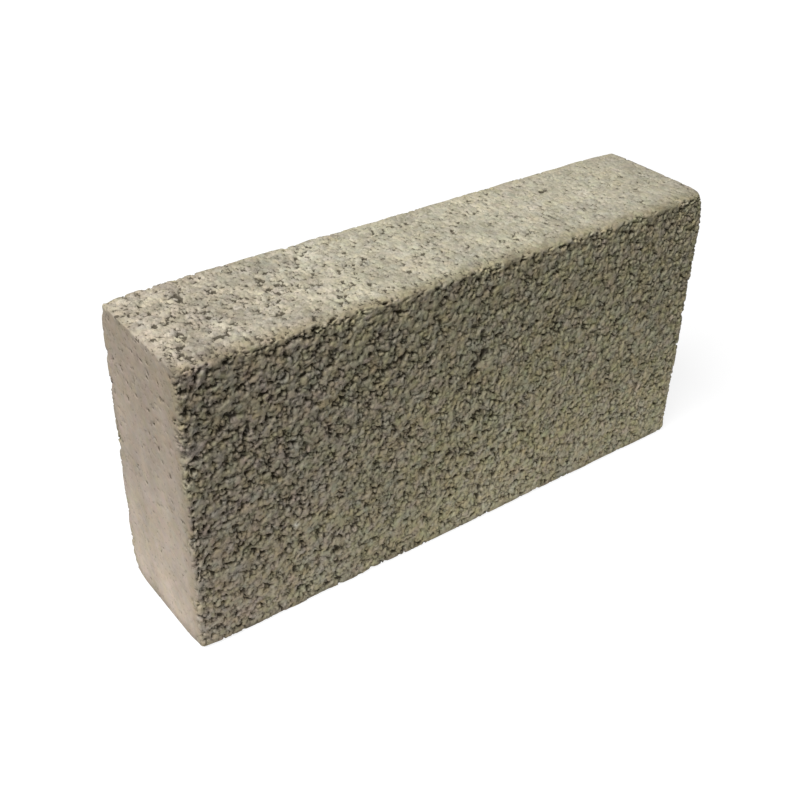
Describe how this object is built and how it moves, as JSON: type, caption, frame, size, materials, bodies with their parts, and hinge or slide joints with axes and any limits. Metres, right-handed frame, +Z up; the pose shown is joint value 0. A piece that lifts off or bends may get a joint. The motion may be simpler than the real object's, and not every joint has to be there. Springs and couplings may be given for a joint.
{
  "type": "concrete block",
  "caption": "Solid rectangular concrete walling block with open granular faces, smoother pitted beds and ends, softly rounded arrises and worn corners.",
  "frame": {"origin": "middle of the lower bed face, on the surface that the block stands on", "axes": "+X along the length of the block, +Y through its thickness from the front open face to the back one, +Z up from the lower bed to the upper bed"},
  "size_m": [0.44, 0.1, 0.215],
  "materials": {
    "concrete": "open-textured buff grey concrete, matt"
  },
  "bodies": {
    "root": {"block": "concrete"}
  },
  "joints": []
}
